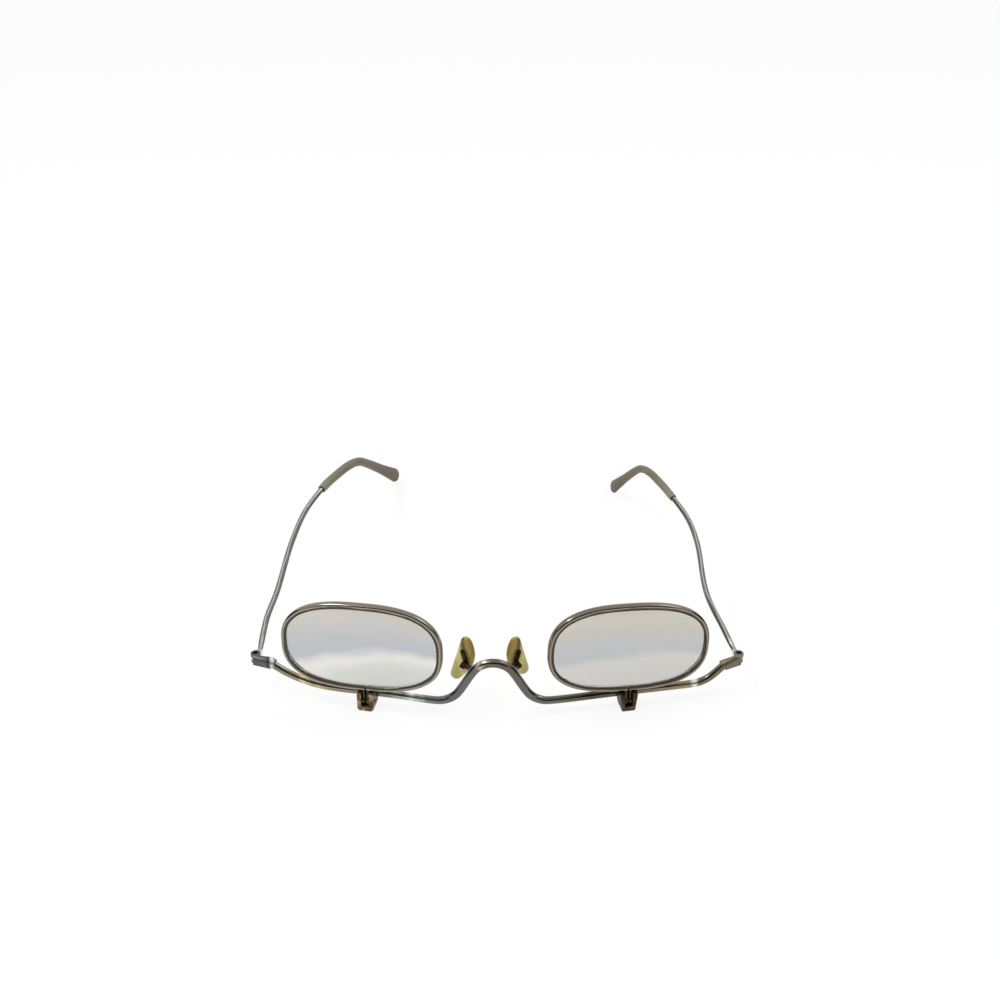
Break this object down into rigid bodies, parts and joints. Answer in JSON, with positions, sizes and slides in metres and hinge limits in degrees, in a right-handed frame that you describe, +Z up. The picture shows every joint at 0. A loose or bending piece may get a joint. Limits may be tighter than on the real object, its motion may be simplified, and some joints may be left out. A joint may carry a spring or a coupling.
{
  "type": "makeup glasses",
  "caption": "Wire-frame makeup glasses with framed lenses hinged on a bent front wire so each swings down alone, rocking nose pads and folding temples with plastic tips.",
  "frame": {"origin": "on the table under the middle of the whole object: the foot plane of the flip brackets, midway across and midway front to back", "axes": "+X to the right seen from the front, +Y back towards the ears, +Z up; the lenses face -Y"},
  "size_m": [0.135, 0.1404, 0.032],
  "materials": {
    "nickel": "worn nickel-silver wire, polished, with warm tarnish",
    "brass": "dull brass with worn plating",
    "glass": "clear, polished, slightly reflective",
    "tip_plastic": "translucent beige-brown plastic, smooth",
    "pad_plastic": "clear plastic yellowed with age"
  },
  "bodies": {
    "frame": {"front_wire": "nickel", "end_piece_left": "nickel", "end_piece_right": "nickel", "hinge_screw_left": "nickel", "hinge_screw_right": "nickel", "flip_bracket_left": "brass", "flip_bracket_right": "brass", "flip_pin_left": "brass", "flip_pin_right": "brass", "pad_arm_left": "nickel", "pad_arm_right": "nickel", "pad_box_left": "brass", "pad_box_right": "brass", "pad_pin_left": "brass", "pad_pin_right": "brass"},
    "temple_left_arm": {"temple_left": "nickel", "temple_tip_left": "tip_plastic"},
    "lens_left_flap": {"rim_left": "nickel", "lens_left": "glass"},
    "pad_left_rocker": {"pad_mount_left": "brass", "nose_pad_left": "pad_plastic"},
    "temple_right_arm": {"temple_right": "nickel", "temple_tip_right": "tip_plastic"},
    "lens_right_flap": {"rim_right": "nickel", "lens_right": "glass"},
    "pad_right_rocker": {"pad_mount_right": "brass", "nose_pad_right": "pad_plastic"}
  },
  "joints": [
    {"name": "temple_left_fold", "type": "hinge", "parent": "frame", "child": "temple_left_arm", "pos_m": [-0.0662, -0.0557, 0.00955], "axis": [0, 0, 1], "range_deg": [-69, 0]},
    {"name": "temple_right_fold", "type": "hinge", "parent": "frame", "child": "temple_right_arm", "pos_m": [0.0662, -0.0557, 0.00955], "axis": [0, 0, 1], "range_deg": [0, 75]},
    {"name": "lens_left_flip", "type": "hinge", "parent": "frame", "child": "lens_left_flap", "pos_m": [-0.0352, -0.06592, 0.0027], "axis": [0.9816, -0.1908, 0], "range_deg": [0, 110]},
    {"name": "lens_right_flip", "type": "hinge", "parent": "frame", "child": "lens_right_flap", "pos_m": [0.0352, -0.06592, 0.0027], "axis": [0.9816, 0.1908, 0], "range_deg": [0, 110]},
    {"name": "pad_left_rock", "type": "hinge", "parent": "frame", "child": "pad_left_rocker", "pos_m": [-0.00897, -0.06297, 0.01184], "axis": [0.8721, -0.4254, -0.2419], "range_deg": [-8, 8]},
    {"name": "pad_right_rock", "type": "hinge", "parent": "frame", "child": "pad_right_rocker", "pos_m": [0.00557, -0.06297, 0.01184], "axis": [0.8721, 0.4254, 0.2419], "range_deg": [-8, 8]}
  ]
}
